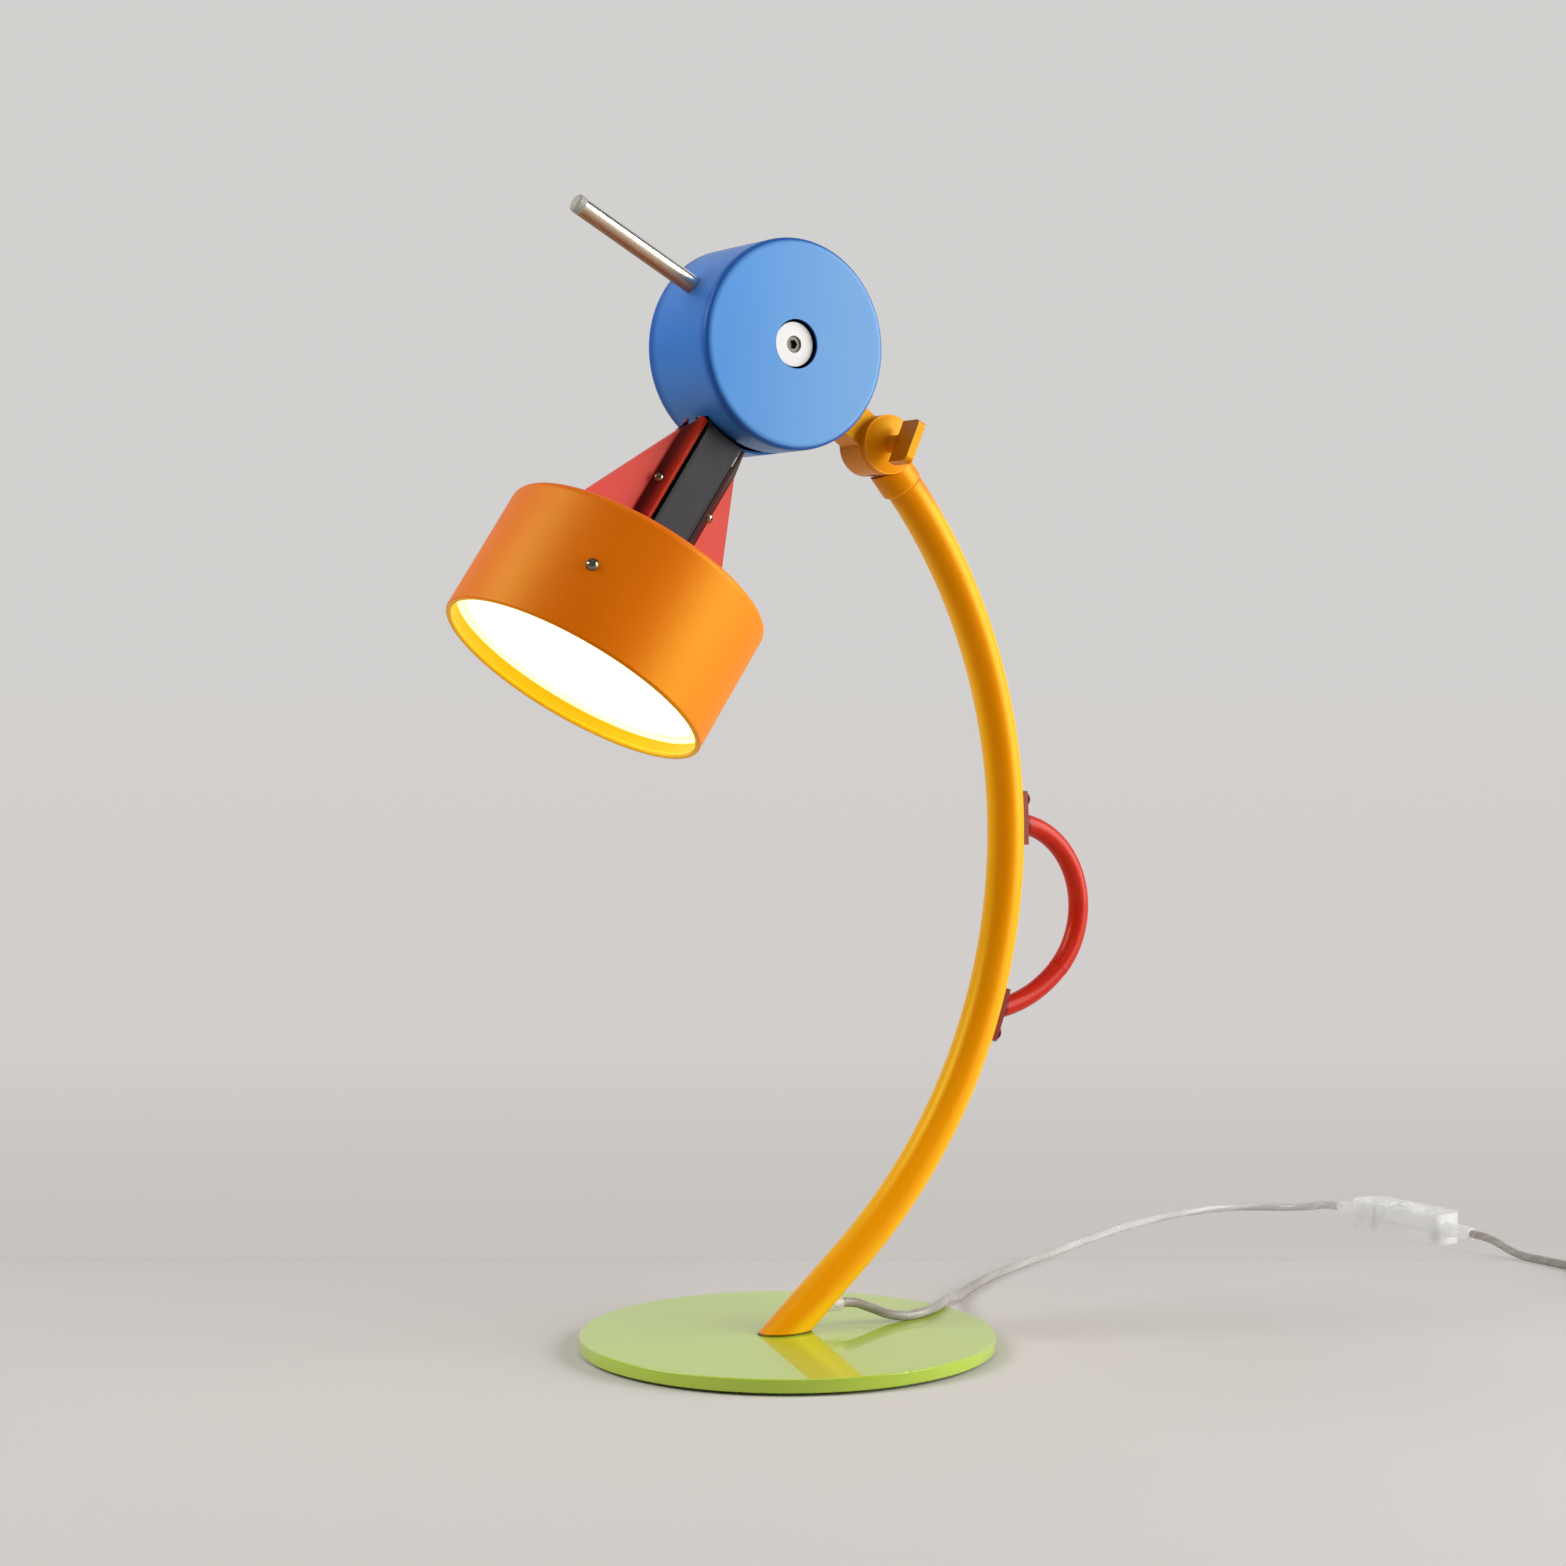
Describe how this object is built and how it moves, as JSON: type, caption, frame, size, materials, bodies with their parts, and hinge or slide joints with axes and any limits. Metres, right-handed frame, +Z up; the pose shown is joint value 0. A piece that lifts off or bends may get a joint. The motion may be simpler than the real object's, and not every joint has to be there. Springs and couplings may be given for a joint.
{
  "type": "table lamp",
  "caption": "Table lamp: bent tube stem with a grab handle on a round base, tilting drum head with a clamping knob, swinging shade, cord with a rocker switch and plug.",
  "frame": {"origin": "middle of the underside of the base, on the table", "axes": "+Z up; the lamp stands in the XZ plane with the shade towards -X and the eye of the drum towards -Y"},
  "size_m": [0.7654, 0.3965, 0.5846],
  "materials": {
    "pad": "matte",
    "green_paint": "high gloss",
    "steel": "satin",
    "amber_paint": "gloss",
    "clear_pvc": "clear",
    "black_rubber": "matte",
    "red_paint": "gloss",
    "brown_screw": "satin",
    "clear_case": "clear",
    "white_plastic": "satin",
    "brass_pin": "polished",
    "blue_paint": "gloss",
    "chrome_plate": "mirror",
    "grey_cap": "satin",
    "knob_paint": "gloss",
    "black_gloss": "high gloss",
    "coral_paint": "satin",
    "orange_paint": "gloss",
    "bare_aluminium": "satin",
    "black_plastic": "matte",
    "opal": "opal, lit"
  },
  "bodies": {
    "stand": {"base_pad": "pad", "base_plate": "green_paint", "base_bolt": "steel", "foot_plug": "steel", "stem_tube": "amber_paint", "stem_head": "amber_paint", "stem_lead": "clear_pvc", "cord_bush": "black_rubber", "grab_handle": "red_paint", "handle_screws": "brown_screw", "cord_lead": "clear_pvc", "switch_base": "clear_case", "switch_cover": "clear_case", "switch_screws": "steel", "switch_reliefs": "clear_case", "cord_tail": "clear_pvc", "cord_coil": "clear_pvc", "cord_tie": "white_plastic", "plug_relief": "clear_case", "plug_body": "clear_case", "plug_pins": "brass_pin"},
    "rocker": {"switch_rocker": "white_plastic"},
    "head": {"drum_shell": "blue_paint", "drum_back": "blue_paint", "back_screws": "steel", "eye_hub": "white_plastic", "hub_spacer": "white_plastic", "axle_bolt": "steel", "axle_nut": "steel", "drum_lug": "amber_paint", "lug_screws": "steel", "tilt_washers": "white_plastic", "pivot_nut": "steel", "handle_rod": "chrome_plate", "rod_cap": "grey_cap", "rod_nut": "steel"},
    "knob": {"wing_knob": "knob_paint", "pivot_stud": "steel"},
    "arm": {"swing_arm": "black_gloss", "swing_washers": "white_plastic", "neck_front": "coral_paint", "neck_rear": "coral_paint", "neck_screws": "steel", "arm_screws": "steel", "shade_can": "orange_paint", "shade_screws": "steel", "light_plate": "bare_aluminium", "driver_box": "black_plastic", "led_board": "white_plastic", "light_sleeve": "white_plastic", "diffuser": "opal", "snap_ring": "brass_pin"}
  },
  "joints": [
    {"name": "head_tilt", "type": "hinge", "parent": "stand", "child": "head", "pos_m": [0.05428, 0, 0.46886], "axis": [0, 1, 0], "range_deg": [-15, 30]},
    {"name": "shade_swing", "type": "hinge", "parent": "head", "child": "arm", "pos_m": [-0.01248, 0, 0.5156], "axis": [0, 1, 0], "range_deg": [-35, 2]},
    {"name": "knob_turn", "type": "hinge", "parent": "head", "child": "knob", "pos_m": [0.05428, 0, 0.46886], "axis": [0, 1, 0], "range_deg": [0, 180]},
    {"name": "switch_rock", "type": "hinge", "parent": "stand", "child": "rocker", "pos_m": [0.5, 0.06, 0.0144], "axis": [1, 0, 0], "range_deg": [0, 12]}
  ]
}
